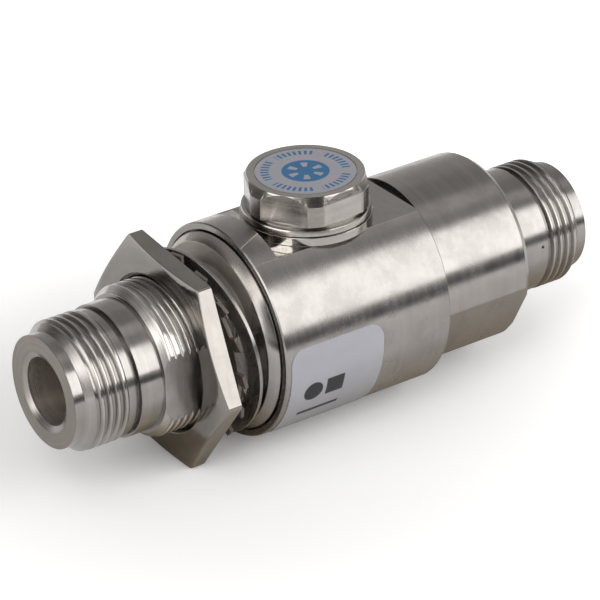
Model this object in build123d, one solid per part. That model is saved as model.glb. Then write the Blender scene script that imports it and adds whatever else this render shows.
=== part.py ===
from build123d import *
import math
import os

# Bulkhead coaxial lightning arrestor. Millimetres.
# X runs along the connector axis from the bulkhead jack (-X) to the rear jack (+X), Z points up
# through the gas tube's cap. The origin is on the axis, in the shoulder face that the panel meets.

# Screw jacks, the same at both ends
JACK_THREAD_R = 7.94
JACK_NOSE_R = 6.87
JACK_NOSE_LEN = 1.4
JACK_RELIEF_R = 7.5
MOUTH_R = 4.15
MOUTH_CHAMFER_R = 0.8
MOUTH_CHAMFER_LEN = 0.4
MOUTH_DEPTH = 9.1
LINE_R = 3.5
LINE_LEN = 2.0
BEAD_R = 4.6
BEAD_LEN = 5.0
BUSHING_LEN = 2.0
BUSHING_WALL = 1.1

# Front jack
FRONT_LEAD_LEN = 1.2
FRONT_THREAD_LEN = 3.9
FRONT_PLAIN_R = 7.75
FRONT_PLAIN_LEN = 1.2
FRONT_GROOVE_LEN = 0.5

# Neck that goes through the panel
STEM_R = 8.08
STEM_LEN = 3.1
NECK_R = 9.25
NECK_LEN = 12.2
NECK_CHAMFER_LEN = 0.9
NECK_CHAMFER_R = 0.75
NECK_RELIEF_R = 8.9
NECK_RELIEF_LEN = 0.9
NECK_FLAT_Y = 8.25

# Shoulder between neck and main body
SHOULDER_R = 11.65
SHOULDER_LEN = 0.85
SHOULDER_EDGE = 0.5
FLANGE_R = 12.15
FLANGE_LEN = 1.25

# Main body
BODY_R = 13.2
BODY_LEN = 23.85
BODY_START = 1.3
BODY_EDGE = 0.15
FLAT_DEPTH = 1.9
FLAT_FROM_FRONT = 3.4
FLANGE_CLEARANCE = 0.23
SPIGOT_R = 9.0
SPIGOT_LEN = 5.4
CHAMBER_R = 4.6
FRONT_SEAL_INSET = 0.25
FRONT_SEAL_THICK = 0.5

# Rear body
REAR_R = 11.7
REAR_LEN = 12.5
REAR_EDGE_LEN = 0.7
REAR_EDGE_DROP = 0.45
REAR_SEAL_THICK = 0.85
REAR_SEAL_WIDTH = 1.9
WRENCH_FLAT_DIST = 10.9
WRENCH_FLAT_ANGLE = 117.5
REAR_NECK_R = 7.87
REAR_NECK_LEN = 5.8
REAR_GROOVE_LEN = 0.6
REAR_THREAD_LEN = 3.7
REAR_LEAD_LEN = 1.0

# Centre line
CONTACT_R = 1.52
CONTACT_TIP_DEPTH = 4.2
CONTACT_HOLE_R = 0.85
CONTACT_HOLE_LEN = 5.5
CONTACT_SLOT = 0.3
CONTACT_SLOT_LEN = 4.6
CONTACT_TAIL_LEN = 1.5
BOSS_R = 2.6
BOSS_LEN = 9.0
BOSS_FLAT_Z = 1.9
PAD_R = 1.7
PAD_THICK = 0.3

# Gas tube port and cap, a little behind the middle of the main body
PORT_FROM_MIDDLE = 0.375
PORT_THREAD_R = 5.1
PORT_RUNOUT = 0.9
PORT_BORE_CLEARANCE = 0.6
CAP_THREAD_CLEARANCE = 0.1
CAP_AF = 14.0
CAP_CORNER_RISE = 0.6
CAP_HEX_ANGLE = 3.0
CAP_WASHER_R = 7.9
CAP_WASHER_THICK = 1.05
CAP_WASHER_BORE_R = 6.5
CAP_SEAL_CLEARANCE = 0.15
CAP_FLANGE_R = 7.75
CAP_FLANGE_THICK = 0.9
CAP_FLANGE_ROUND = 0.3
CAP_GROOVE_R = 7.2
CAP_GROOVE_LEN = 0.35
CAP_HEX_LEN = 3.65
CAP_TOP_CHAMFER_LEN = 1.1
CAP_SPIGOT_LEN = 4.4
CAP_RIM = 0.9
CAP_RECESS_DEPTH = 0.2
CAP_LABEL_CLEARANCE = 0.1
CAP_LABEL_THICK = 0.2
CAP_EDGE = 0.15

# Gas discharge tube and its spring
TUBE_R = 4.0
TUBE_LEN = 6.0
TUBE_CAP_THICK = 0.6
TUBE_CERAMIC_INSET = 0.2
TUBE_WALL = 1.2
TUBE_CLEARANCE = 0.06
SPRING_INSET = 0.4
SPRING_HEIGHT = 1.05
SPRING_HOLE_R = 1.2
SPRING_SHEET = 0.25
SPRING_CLEARANCE = 0.05

# Nut and washers on the neck
NUT_AF = 25.0
NUT_THICK = 2.4
NUT_CORNER_DROP = 0.6
NUT_FACE_INSET = 0.3
NUT_BORE_CLEARANCE = 0.1
NUT_BORE_CHAMFER = 0.45
NUT_FROM_SEAT = 5.7
NUT_TURN = 36.0
LOCK_RING_R = 10.9
LOCK_TOOTH_LEN = 1.1
LOCK_TOOTH_ROOT = 0.65
LOCK_THICK = 0.5
LOCK_TEETH = 16
LOCK_TOOTH_WIDTH = 1.8
LOCK_TWIST = 13.0
LOCK_FROM_NUT = 1.345
LOCK_LEAN = 4.0
WASHER_R = 11.85
WASHER_THICK = 0.5
WASHER_FROM_SEAT = 2.7
WASHER_DROP = 0.1
WASHER_LEAN = 8.2
WASHER_BORE_CLEARANCE = 0.35
LEAN_WAY = 32.5

# Sticker on the side of the main body
STICKER_THICK = 0.1
STICKER_LEN = 13.2
STICKER_FROM_FRONT = 0.7
STICKER_ANGLE = 113.5
STICKER_HEIGHT = 14.8
STICKER_CORNER_R = 1.8

# Stations along the axis that follow from the sizes above
neck_start = -NECK_LEN
stem_start = neck_start - STEM_LEN
plain_end = stem_start - FRONT_GROOVE_LEN
thread_end = plain_end - FRONT_PLAIN_LEN
thread_start = thread_end - FRONT_THREAD_LEN
nose_end = thread_start - FRONT_LEAD_LEN
front_face = nose_end - JACK_NOSE_LEN
flange_end = SHOULDER_LEN + FLANGE_LEN
front_seal_end = flange_end + FRONT_SEAL_THICK
body_end = BODY_START + BODY_LEN
port_x = BODY_START + BODY_LEN / 2 + PORT_FROM_MIDDLE
front_spigot_end = flange_end + SPIGOT_LEN
rear_spigot_end = body_end - SPIGOT_LEN
rear_start = body_end + REAR_SEAL_THICK
rear_end = rear_start + REAR_LEN
rear_groove = rear_end + REAR_NECK_LEN
rear_thread = rear_groove + REAR_GROOVE_LEN
rear_lead = rear_thread + REAR_THREAD_LEN
rear_nose = rear_lead + REAR_LEAD_LEN
rear_face = rear_nose + JACK_NOSE_LEN
contact_reach = MOUTH_DEPTH + LINE_LEN + BEAD_LEN + CONTACT_TAIL_LEN

# Levels up the port that follow from the sizes above
flat_z = BODY_R - FLAT_DEPTH
washer_top = flat_z + CAP_WASHER_THICK
flange_top = washer_top + CAP_FLANGE_THICK
hex_bottom = flange_top + CAP_GROOVE_LEN
hex_top = hex_bottom + CAP_HEX_LEN
spigot_bottom = flat_z - CAP_SPIGOT_LEN
pad_top = BOSS_FLAT_Z + PAD_THICK
tube_top = pad_top + TUBE_LEN
spring_top = tube_top + SPRING_HEIGHT
cup_floor = spring_top + SPRING_CLEARANCE
recess_floor = hex_top - CAP_RECESS_DEPTH

# Radii that follow from the sizes above
cap_flat_r = CAP_AF / 2
cap_corner_r = cap_flat_r + CAP_CORNER_RISE
cap_recess_r = cap_flat_r - CAP_RIM
spring_r = TUBE_R - SPRING_INSET
ceramic_r = TUBE_R - TUBE_CERAMIC_INSET
washer_bore_r = NECK_R + WASHER_BORE_CLEARANCE


def turned(points):
    """Solid turned about the connector axis from (station, radius) points."""
    return revolve(make_face(Polyline(*points, close=True)), Axis.X)


def bar(start, end, radius):
    """Round bar on the connector axis."""
    return Pos(start, 0, 0) * Rot(0, 90, 0) * Cylinder(
        radius, end - start, align=(Align.CENTER, Align.CENTER, Align.MIN))


def post(bottom, top, radius):
    """Round bar on the port's axis."""
    return Pos(port_x, 0, bottom) * Cylinder(
        radius, top - bottom, align=(Align.CENTER, Align.CENTER, Align.MIN))


def port_turned(points):
    """Solid turned about the port's axis from (radius, level) points."""
    outline = Plane.XZ * make_face(Polyline(*points, close=True))
    return Pos(port_x, 0, 0) * revolve(outline, Axis.Z)


def jack_bore(face, inward, spigot_end):
    """Mouth, chamfer, reference step and bead seat of a jack; inward is +1 or -1 along X."""
    step = face + inward * MOUTH_DEPTH
    seat = step + inward * LINE_LEN
    return turned([
        (face, 0),
        (face, MOUTH_R + MOUTH_CHAMFER_R),
        (face + inward * MOUTH_CHAMFER_LEN, MOUTH_R),
        (step, MOUTH_R),
        (step, LINE_R),
        (seat, LINE_R),
        (seat, BEAD_R),
        (spigot_end, BEAD_R),
        (spigot_end, 0)])


def front_body():
    """Front jack, panel neck with its D-flat, shoulder and spigot, turned from one bar."""
    shell = turned([
        (front_face, 0),
        (front_face, JACK_NOSE_R),
        (nose_end, JACK_NOSE_R),
        (thread_start, JACK_THREAD_R),
        (thread_end, JACK_THREAD_R),
        (thread_end, FRONT_PLAIN_R),
        (plain_end, FRONT_PLAIN_R),
        (plain_end, JACK_RELIEF_R),
        (stem_start, JACK_RELIEF_R),
        (stem_start, STEM_R),
        (neck_start, STEM_R),
        (neck_start, NECK_R - NECK_CHAMFER_R),
        (neck_start + NECK_CHAMFER_LEN, NECK_R),
        (-NECK_RELIEF_LEN, NECK_R),
        (-NECK_RELIEF_LEN, NECK_RELIEF_R),
        (0, NECK_RELIEF_R),
        (0, SHOULDER_R - SHOULDER_EDGE),
        (SHOULDER_EDGE, SHOULDER_R),
        (SHOULDER_LEN, SHOULDER_R),
        (SHOULDER_LEN, FLANGE_R),
        (flange_end, FLANGE_R),
        (flange_end, SPIGOT_R),
        (front_spigot_end, SPIGOT_R),
        (front_spigot_end, 0)])
    flat_depth = NECK_R - NECK_FLAT_Y
    flat_cut = Pos(neck_start / 2, -NECK_FLAT_Y - flat_depth, 0) * Box(
        NECK_LEN, 2 * flat_depth, 2 * NECK_R)
    return shell - flat_cut - jack_bore(front_face, 1, front_spigot_end)


def main_body():
    """Turned cylinder with the milled flat, both counterbores, the line bore and the cap's port."""
    shell = bar(BODY_START, body_end, BODY_R)
    shell = chamfer(shell.edges().filter_by(GeomType.CIRCLE), BODY_EDGE)
    mill_len = BODY_LEN - FLAT_FROM_FRONT
    mill = Pos(BODY_START + FLAT_FROM_FRONT, 0, flat_z) * Box(
        mill_len, 2 * BODY_R, FLAT_DEPTH, align=(Align.MIN, Align.CENTER, Align.MIN))
    flange_seat = bar(BODY_START, front_seal_end, FLANGE_R + FLANGE_CLEARANCE)
    front_socket = bar(BODY_START, front_spigot_end, SPIGOT_R)
    rear_socket = bar(rear_spigot_end, body_end, SPIGOT_R)
    chamber = bar(front_spigot_end, rear_spigot_end, CHAMBER_R)
    port = post(spigot_bottom - PORT_RUNOUT, flat_z, PORT_THREAD_R)
    port += post(0, flat_z, TUBE_R + PORT_BORE_CLEARANCE)
    return shell - mill - flange_seat - front_socket - rear_socket - chamber - port


def wrench_cut(angle):
    """Slab outside one wrench flat, its normal turned from +Z towards -Y by angle."""
    depth = REAR_R - WRENCH_FLAT_DIST
    slab = Pos(rear_start, 0, WRENCH_FLAT_DIST) * Box(
        REAR_LEN, 2 * REAR_R, 2 * depth, align=(Align.MIN, Align.CENTER, Align.MIN))
    return Rot(angle, 0, 0) * slab


def rear_body():
    """Rear cylinder with two wrench flats, neck and jack, turned from one bar."""
    shell = turned([
        (rear_spigot_end, 0),
        (rear_spigot_end, SPIGOT_R),
        (rear_start, SPIGOT_R),
        (rear_start, REAR_R),
        (rear_end - REAR_EDGE_LEN, REAR_R),
        (rear_end, REAR_R - REAR_EDGE_DROP),
        (rear_end, REAR_NECK_R),
        (rear_groove, REAR_NECK_R),
        (rear_groove, JACK_RELIEF_R),
        (rear_thread, JACK_RELIEF_R),
        (rear_thread, JACK_THREAD_R),
        (rear_lead, JACK_THREAD_R),
        (rear_nose, JACK_NOSE_R),
        (rear_face, JACK_NOSE_R),
        (rear_face, 0)])
    flats = wrench_cut(WRENCH_FLAT_ANGLE) + wrench_cut(WRENCH_FLAT_ANGLE + 180)
    return shell - flats - jack_bore(rear_face, -1, rear_spigot_end)


def front_seal():
    """Flat gasket squeezed between the front flange and the main body's counterbore."""
    outer = bar(flange_end, front_seal_end, FLANGE_R - FRONT_SEAL_INSET)
    return outer - bar(flange_end, front_seal_end, SPIGOT_R)


def rear_seal():
    """Ring squeezed between the main body and the rear body."""
    outer = bar(body_end, rear_start, SPIGOT_R + REAR_SEAL_WIDTH)
    return outer - bar(body_end, rear_start, SPIGOT_R)


def contact(face, inward):
    """Slotted socket contact that stands in a jack's mouth, held by its bead."""
    tip = face + inward * CONTACT_TIP_DEPTH
    tail = face + inward * contact_reach
    body = turned([(tip, 0), (tip, CONTACT_R), (tail, CONTACT_R), (tail, 0)])
    hole_end = tip + inward * CONTACT_HOLE_LEN
    hole = turned([(tip, 0), (tip, CONTACT_HOLE_R), (hole_end, CONTACT_HOLE_R), (hole_end, 0)])
    slot_middle = tip + inward * CONTACT_SLOT_LEN / 2
    slot_width = 2 * (CONTACT_R + CONTACT_SLOT)
    slot = Pos(slot_middle, 0, 0) * Box(CONTACT_SLOT_LEN, slot_width, CONTACT_SLOT)
    return body - hole - slot - Rot(90, 0, 0) * slot


def bead(face, inward):
    """Insulating bead, pressed on the contact and into its seat in the shell."""
    start = face + inward * (MOUTH_DEPTH + LINE_LEN)
    end = start + inward * BEAD_LEN
    return turned([(start, CONTACT_R), (start, BEAD_R), (end, BEAD_R), (end, CONTACT_R)])


def bushing(face, inward):
    """Metal ring pressed in behind a bead to keep it in its seat."""
    start = face + inward * (MOUTH_DEPTH + LINE_LEN + BEAD_LEN)
    end = start + inward * BUSHING_LEN
    bore_r = BEAD_R - BUSHING_WALL
    return turned([(start, bore_r), (start, BEAD_R), (end, BEAD_R), (end, bore_r)])


def centre_conductor():
    """Rod between the two contacts, with a flat-topped boss under the gas tube."""
    rod = bar(front_face + contact_reach, rear_face - contact_reach, CONTACT_R)
    boss = bar(port_x - BOSS_LEN / 2, port_x + BOSS_LEN / 2, BOSS_R)
    flat_cut = Pos(port_x, 0, BOSS_FLAT_Z) * Box(
        BOSS_LEN, 2 * BOSS_R, BOSS_R, align=(Align.CENTER, Align.CENTER, Align.MIN))
    return rod + (boss - flat_cut)


def contact_pad():
    """Disc on the boss that the gas tube's lower electrode stands on."""
    return post(BOSS_FLAT_Z, pad_top, PAD_R)


def tube_electrode(bottom):
    """Metal end disc of the gas tube."""
    return post(bottom, bottom + TUBE_CAP_THICK, TUBE_R)


def tube_ceramic():
    """Ceramic ring between the two electrodes, hollow for the gas gap."""
    bottom = pad_top + TUBE_CAP_THICK
    top = tube_top - TUBE_CAP_THICK
    return post(bottom, top, ceramic_r) - post(bottom, top, ceramic_r - TUBE_WALL)


def tube_spring():
    """Coned spring washer between the upper electrode and the floor of the cap's cup."""
    return port_turned([
        (spring_r - SPRING_SHEET, tube_top),
        (spring_r, tube_top),
        (SPRING_HOLE_R + SPRING_SHEET, spring_top),
        (SPRING_HOLE_R, spring_top)])


def cap():
    """Hex cap: flange, groove, head with its corners turned down, spigot and tube cup."""
    flange = port_turned([
        (0, washer_top),
        (CAP_FLANGE_R - CAP_EDGE, washer_top),
        (CAP_FLANGE_R, washer_top + CAP_EDGE),
        (CAP_FLANGE_R, flange_top - CAP_FLANGE_ROUND),
        (CAP_FLANGE_R - CAP_FLANGE_ROUND, flange_top),
        (CAP_GROOVE_R, flange_top),
        (CAP_GROOVE_R, hex_bottom),
        (0, hex_bottom)])
    head = port_turned([
        (0, hex_bottom),
        (cap_corner_r, hex_bottom),
        (cap_corner_r, hex_top - CAP_TOP_CHAMFER_LEN),
        (cap_flat_r, hex_top),
        (0, hex_top)])
    hexagon = RegularPolygon(cap_flat_r, 6, major_radius=False, rotation=CAP_HEX_ANGLE)
    head &= Pos(port_x, 0, hex_bottom) * extrude(hexagon, CAP_HEX_LEN)
    spigot = post(spigot_bottom, washer_top, PORT_THREAD_R - CAP_THREAD_CLEARANCE)
    cup = post(spigot_bottom, cup_floor, TUBE_R + TUBE_CLEARANCE)
    recess = post(recess_floor, hex_top, cap_recess_r)
    return flange + head + spigot - cup - recess


def cap_label():
    """Round label in the recess of the cap."""
    return post(recess_floor, recess_floor + CAP_LABEL_THICK, cap_recess_r - CAP_LABEL_CLEARANCE)


def cap_washer():
    """Metal ring of the sealing washer under the cap."""
    return post(flat_z, washer_top, CAP_WASHER_R) - post(flat_z, washer_top, CAP_WASHER_BORE_R)


def cap_seal():
    """Rubber lip bonded inside the sealing washer."""
    bore_r = PORT_THREAD_R + CAP_SEAL_CLEARANCE
    return post(flat_z, washer_top, CAP_WASHER_BORE_R) - post(flat_z, washer_top, bore_r)


def hex_nut():
    """Thin nut with a coned front face, its corners turned by NUT_TURN about the neck."""
    back = -NUT_FROM_SEAT
    front = back - NUT_THICK
    corner_r = NUT_AF / math.sqrt(3)
    hexagon = RegularPolygon(NUT_AF / 2, 6, major_radius=False)
    prism = Pos(front, 0, 0) * Rot(NUT_TURN, 0, 0) * Rot(0, 90, 0) * extrude(hexagon, NUT_THICK)
    cone = turned([
        (front, 0),
        (front, NUT_AF / 2 - NUT_FACE_INSET),
        (front + NUT_CORNER_DROP, corner_r),
        (back, corner_r),
        (back, 0)])
    bore_r = NECK_R + NUT_BORE_CLEARANCE
    bore = turned([
        (front, 0),
        (front, bore_r + NUT_BORE_CHAMFER),
        (front + NUT_BORE_CHAMFER, bore_r),
        (back - NUT_BORE_CHAMFER, bore_r),
        (back, bore_r + NUT_BORE_CHAMFER),
        (back, 0)])
    return (prism & cone) - bore


def leaning(middle, drop, lean, ring):
    """A ring made about the origin, leaned the way the loose washers rest and put on the neck."""
    tipped = Rot(LEAN_WAY, 0, 0) * Rot(0, 0, lean) * Rot(-LEAN_WAY, 0, 0) * ring
    return Pos(middle, 0, -drop) * tipped


def lock_washer():
    """Ring with twisted outer teeth, leaning against the nut."""
    half = LOCK_THICK / 2
    ring = bar(-half, half, LOCK_RING_R) - bar(-half, half, washer_bore_r)
    tooth_height = LOCK_TOOTH_ROOT + LOCK_TOOTH_LEN
    tooth_z = LOCK_RING_R - LOCK_TOOTH_ROOT + tooth_height / 2
    tooth = Pos(0, 0, tooth_z) * Rot(0, 0, LOCK_TWIST) * Box(
        LOCK_THICK, LOCK_TOOTH_WIDTH, tooth_height)
    for index in range(LOCK_TEETH):
        ring += Rot(index * 360 / LOCK_TEETH, 0, 0) * tooth
    return leaning(LOCK_FROM_NUT - NUT_FROM_SEAT, 0, LOCK_LEAN, ring)


def flat_washer():
    """Plain washer that bears on the panel, hanging loose and leaning on the lock washer."""
    half = WASHER_THICK / 2
    ring = bar(-half, half, WASHER_R) - bar(-half, half, washer_bore_r)
    return leaning(-WASHER_FROM_SEAT, WASHER_DROP, WASHER_LEAN, ring)


def sticker():
    """Thin label with rounded corners, wrapped on the lower side of the main body."""
    start = BODY_START + STICKER_FROM_FRONT
    middle = start + STICKER_LEN / 2
    skin = bar(start, start + STICKER_LEN, BODY_R + STICKER_THICK)
    skin -= bar(start, start + STICKER_LEN, BODY_R)
    outline = RectangleRounded(STICKER_LEN, STICKER_HEIGHT, STICKER_CORNER_R)
    punch = Rot(STICKER_ANGLE, 0, 0) * Pos(middle, 0, 0) * extrude(outline, 2 * BODY_R)
    return skin & punch


pieces = {
    "front_body": front_body(),
    "main_body": main_body(),
    "rear_body": rear_body(),
    "front_seal": front_seal(),
    "rear_seal": rear_seal(),
    "front_contact": contact(front_face, 1),
    "rear_contact": contact(rear_face, -1),
    "front_bead": bead(front_face, 1),
    "rear_bead": bead(rear_face, -1),
    "front_bushing": bushing(front_face, 1),
    "rear_bushing": bushing(rear_face, -1),
    "centre_conductor": centre_conductor(),
    "contact_pad": contact_pad(),
    "tube_lower_electrode": tube_electrode(pad_top),
    "tube_upper_electrode": tube_electrode(tube_top - TUBE_CAP_THICK),
    "tube_ceramic": tube_ceramic(),
    "tube_spring": tube_spring(),
    "cap": cap(),
    "cap_label": cap_label(),
    "cap_washer": cap_washer(),
    "cap_seal": cap_seal(),
    "hex_nut": hex_nut(),
    "lock_washer": lock_washer(),
    "flat_washer": flat_washer(),
    "sticker": sticker(),
}

os.makedirs("parts", exist_ok=True)
for name, shape in pieces.items():
    export_step(shape, f"parts/{name}.step")
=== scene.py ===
import math

import bpy
from mathutils import Matrix, Vector


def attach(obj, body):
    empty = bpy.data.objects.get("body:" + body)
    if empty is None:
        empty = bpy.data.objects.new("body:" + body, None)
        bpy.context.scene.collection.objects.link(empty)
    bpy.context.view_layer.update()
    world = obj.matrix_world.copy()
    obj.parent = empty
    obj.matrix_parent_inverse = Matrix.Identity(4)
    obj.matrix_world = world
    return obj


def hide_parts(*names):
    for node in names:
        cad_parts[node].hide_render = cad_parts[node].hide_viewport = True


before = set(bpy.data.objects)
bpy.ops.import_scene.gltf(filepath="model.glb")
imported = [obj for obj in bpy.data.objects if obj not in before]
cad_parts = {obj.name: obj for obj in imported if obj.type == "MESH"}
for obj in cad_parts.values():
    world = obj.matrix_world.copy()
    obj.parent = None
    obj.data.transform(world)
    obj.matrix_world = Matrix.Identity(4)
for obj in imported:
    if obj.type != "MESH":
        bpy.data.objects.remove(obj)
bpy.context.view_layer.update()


# Front body. Bulkhead jack, threaded neck and shoulder, turned from one bar of brass, cut with two
# threads, milled flat along the neck and then nickel plated. Sizes are in millimetres, and every
# piece is modelled at that size and brought down to metres when it is finished.
MM_PER_METRE = 1000.0
TURNING_STEPS = 144
SAME_PLACE = 0.001
JACK_THREAD_R = 7.94
JACK_NOSE_R = 6.87
JACK_MOUTH_R = 4.15
LINE_R = 3.5
BEAD_SEAT_R = 4.6
JOINT_R = 9.0
NECK_R = 9.25
NECK_LENGTH = 12.2
NECK_FLAT_Y = -8.25
FRONT_BODY_OUTLINE = [
    (-23.5, 4.95),
    (-23.5, JACK_NOSE_R),
    (-22.1, JACK_NOSE_R),
    (-20.9, JACK_THREAD_R),
    (-17.0, JACK_THREAD_R),
    (-16.8, 7.75),
    (-15.8, 7.75),
    (-15.8, 7.5),
    (-15.3, 7.5),
    (-15.3, 8.08),
    (-NECK_LENGTH, 8.08),
    (-NECK_LENGTH, 8.5),
    (-11.3, NECK_R),
    (-0.9, NECK_R),
    (-0.9, 8.9),
    (0.0, 8.9),
    (0.0, 11.2),
    (0.08, 11.35),
    (0.35, 11.62),
    (0.7, 11.92),
    (1.1, 12.15),
    (2.1, 12.15),
    (2.1, JOINT_R),
    (7.5, JOINT_R),
    (7.5, BEAD_SEAT_R),
    (-12.4, BEAD_SEAT_R),
    (-12.4, LINE_R),
    (-14.4, LINE_R),
    (-14.4, JACK_MOUTH_R),
    (-23.1, JACK_MOUTH_R),
]
JACK_THREAD = {"pitch": 1.058, "crest": JACK_THREAD_R, "depth": 0.4, "land": 0.26}
NECK_THREAD = {"pitch": 0.907, "crest": NECK_R, "depth": 0.2, "land": 0.46, "ease": 0.06}


def only(*chosen):
    """Leave nothing selected but the chosen pieces, the first one active."""
    bpy.ops.object.select_all(action="DESELECT")
    for piece in chosen:
        piece.select_set(True)
    bpy.context.view_layer.objects.active = chosen[0]


def drawn(name, points):
    """Outline of edges through the points, drawn by extruding one vertex."""
    bpy.ops.object.select_all(action="DESELECT")
    bpy.ops.mesh.primitive_plane_add(size=1, location=(0, 0, 0))
    piece = bpy.context.object
    piece.name = name
    piece.data.name = name
    bpy.ops.object.mode_set(mode="EDIT")
    bpy.ops.mesh.select_all(action="SELECT")
    bpy.ops.mesh.merge(type="CENTER")
    bpy.ops.transform.translate(value=points[0])
    for last, point in zip(points, points[1:]):
        bpy.ops.mesh.extrude_vertices_move(TRANSFORM_OT_translate={"value": point - last})
    bpy.ops.mesh.select_all(action="SELECT")
    return piece


def turned(name, outline, port_x=None, steps=TURNING_STEPS, first=0.0):
    """Ring turned from a closed outline of (station, radius) points about the connector's axis,
    or about the port's upright axis where port_x is given."""
    angle = math.radians(first)
    points = []
    for station, radius in outline + outline[:1]:
        ahead, aside = radius * math.cos(angle), radius * math.sin(angle)
        if port_x is None:
            points.append(Vector((station, -aside, ahead)))
        else:
            points.append(Vector((port_x + ahead, aside, station)))
    piece = drawn(name, points)
    bpy.ops.mesh.spin(
        steps=steps,
        angle=2 * math.pi,
        center=(port_x or 0, 0, 0),
        axis=(1, 0, 0) if port_x is None else (0, 0, 1))
    bpy.ops.mesh.select_all(action="SELECT")
    bpy.ops.mesh.remove_doubles(threshold=SAME_PLACE)
    bpy.ops.mesh.delete_loose(use_verts=True, use_edges=True, use_faces=False)
    bpy.ops.mesh.select_all(action="SELECT")
    bpy.ops.mesh.normals_make_consistent(inside=False)
    bpy.ops.object.mode_set(mode="OBJECT")
    return piece


def straight(name, low, high, inner, outer, **how):
    """Plain ring, or rod where inner is 0, between two stations and two radii."""
    return turned(name, [(low, inner), (low, outer), (high, outer), (high, inner)], **how)


def eased(piece, size, limit=25, segments=2):
    """Take the sharpness off every edge that turns by more than the limit."""
    only(piece)
    bevel = piece.modifiers.new("eased", "BEVEL")
    bevel.width = size
    bevel.segments = segments
    bevel.limit_method = "ANGLE"
    bevel.angle_limit = math.radians(limit)
    bpy.ops.object.modifier_apply(modifier="eased")
    return piece


def combined(piece, tool, operation="DIFFERENCE"):
    """Cut a piece with a tool, or join or trim it, and put the tool away."""
    only(piece)
    cut = piece.modifiers.new("cut", "BOOLEAN")
    cut.operation = operation
    cut.solver = "EXACT"
    cut.object = tool
    bpy.ops.object.modifier_apply(modifier="cut")
    bpy.data.objects.remove(tool)


def block(middle, size, lean=0.0):
    """Square-ended cutting block; lean turns it about the connector's axis, from +Z towards -Y."""
    bpy.ops.object.select_all(action="DESELECT")
    bpy.ops.mesh.primitive_cube_add(size=1, location=(0, 0, 0))
    tool = bpy.context.object
    tool.scale = size
    tool.location = Matrix.Rotation(math.radians(lean), 3, "X") @ Vector(middle)
    tool.rotation_euler = (math.radians(lean), 0, 0)
    bpy.ops.object.transform_apply(location=True, rotation=True, scale=True)
    return tool


THREAD_FLANK = math.tan(math.radians(30))
ROUNDING_SAG = 0.155
TOOL_CLEARANCE = 0.004
TOOL_RISE = 0.5


def thread_tool(start, turns, pitch, crest, depth, land, ease=0.1, lift_end=0.0):
    """Cutter for a right-hand thread: a vee with rounded root and shoulders, wound about the axis
    from the station start. It rises clear of the work over the last lift_end turns."""
    mouth = (pitch - land) / 2
    root = mouth - depth * THREAD_FLANK
    reach = ease * THREAD_FLANK
    sag = ease * ROUNDING_SAG
    right_side = [
        (root - reach, crest - depth),
        (root - sag / 2, crest - depth + sag),
        (root + reach / 2, crest - depth + reach),
        (mouth - reach / 2, crest - reach),
        (mouth + sag / 2, crest - sag),
        (mouth + reach, crest + TOOL_CLEARANCE),
        (mouth + reach, crest + TOOL_RISE),
    ]
    section = right_side + [(-along, radius) for along, radius in reversed(right_side)]
    points = [Vector((start + along, 0, radius)) for along, radius in section + section[:1]]
    tool = drawn("thread_tool", points)
    bpy.ops.mesh.remove_doubles(threshold=SAME_PLACE)
    bpy.ops.object.mode_set(mode="OBJECT")
    screw = tool.modifiers.new("wound", "SCREW")
    screw.axis = "X"
    screw.screw_offset = pitch
    screw.iterations = turns
    screw.steps = TURNING_STEPS
    screw.render_steps = TURNING_STEPS
    bpy.ops.object.modifier_apply(modifier="wound")
    clear_of_work = depth + 0.1
    for vertex in tool.data.vertices:
        turn = (vertex.index // len(section)) / TURNING_STEPS
        if turn > turns - lift_end:
            away = Vector((0, vertex.co.y, vertex.co.z)).normalized()
            vertex.co += away * (turn - turns + lift_end) / lift_end * clear_of_work
    bpy.ops.object.mode_set(mode="EDIT")
    bpy.ops.mesh.select_all(action="SELECT")
    bpy.ops.mesh.fill_holes(sides=0)
    bpy.ops.mesh.select_all(action="SELECT")
    bpy.ops.mesh.normals_make_consistent(inside=False)
    bpy.ops.object.mode_set(mode="OBJECT")
    return tool


def fed(tree, socket, value):
    """Give a socket another node's output or a plain value."""
    if isinstance(value, bpy.types.NodeSocket):
        tree.links.new(value, socket)
    else:
        socket.default_value = value


def node(tree, kind, feeds=None, **settings):
    """Place a shader node, with what feeds its sockets."""
    made = tree.nodes.new(kind)
    for name, value in settings.items():
        setattr(made, name, value)
    for socket, value in (feeds or {}).items():
        fed(tree, made.inputs[socket], value)
    return made


def maths(tree, operation, *terms):
    """One arithmetic node, as its output."""
    return node(tree, "ShaderNodeMath", dict(enumerate(terms)), operation=operation).outputs[0]


def product(tree, first, *others):
    """Values multiplied one after another."""
    for other in others:
        first = maths(tree, "MULTIPLY", first, other)
    return first


def distance(tree, value, middle):
    """How far a value is from a middle."""
    return maths(tree, "ABSOLUTE", maths(tree, "SUBTRACT", value, middle))


def ranged(tree, value, low, high, to_low, to_high, smooth=False):
    """A value carried from one range to another and kept inside it."""
    kind = "SMOOTHSTEP" if smooth else "LINEAR"
    feeds = {"Value": value, "From Min": low, "From Max": high, "To Min": to_low, "To Max": to_high}
    return node(tree, "ShaderNodeMapRange", feeds, interpolation_type=kind).outputs["Result"]


def mixed(tree, share, first, second, way="MIX"):
    """Two colours mixed by a share."""
    made = node(tree, "ShaderNodeMix", {"Factor": share}, data_type="RGBA", blend_type=way)
    first_colour, second_colour = made.inputs[6], made.inputs[7]
    fed(tree, first_colour, first)
    fed(tree, second_colour, second)
    return made.outputs[2]


def noise(tree, place, scale, detail, roughness=0.5):
    """Cloudy values from 0 to 1 over a place."""
    feeds = {"Vector": place, "Scale": scale, "Detail": detail, "Roughness": roughness}
    return node(tree, "ShaderNodeTexNoise", feeds).outputs["Fac"]


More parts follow.
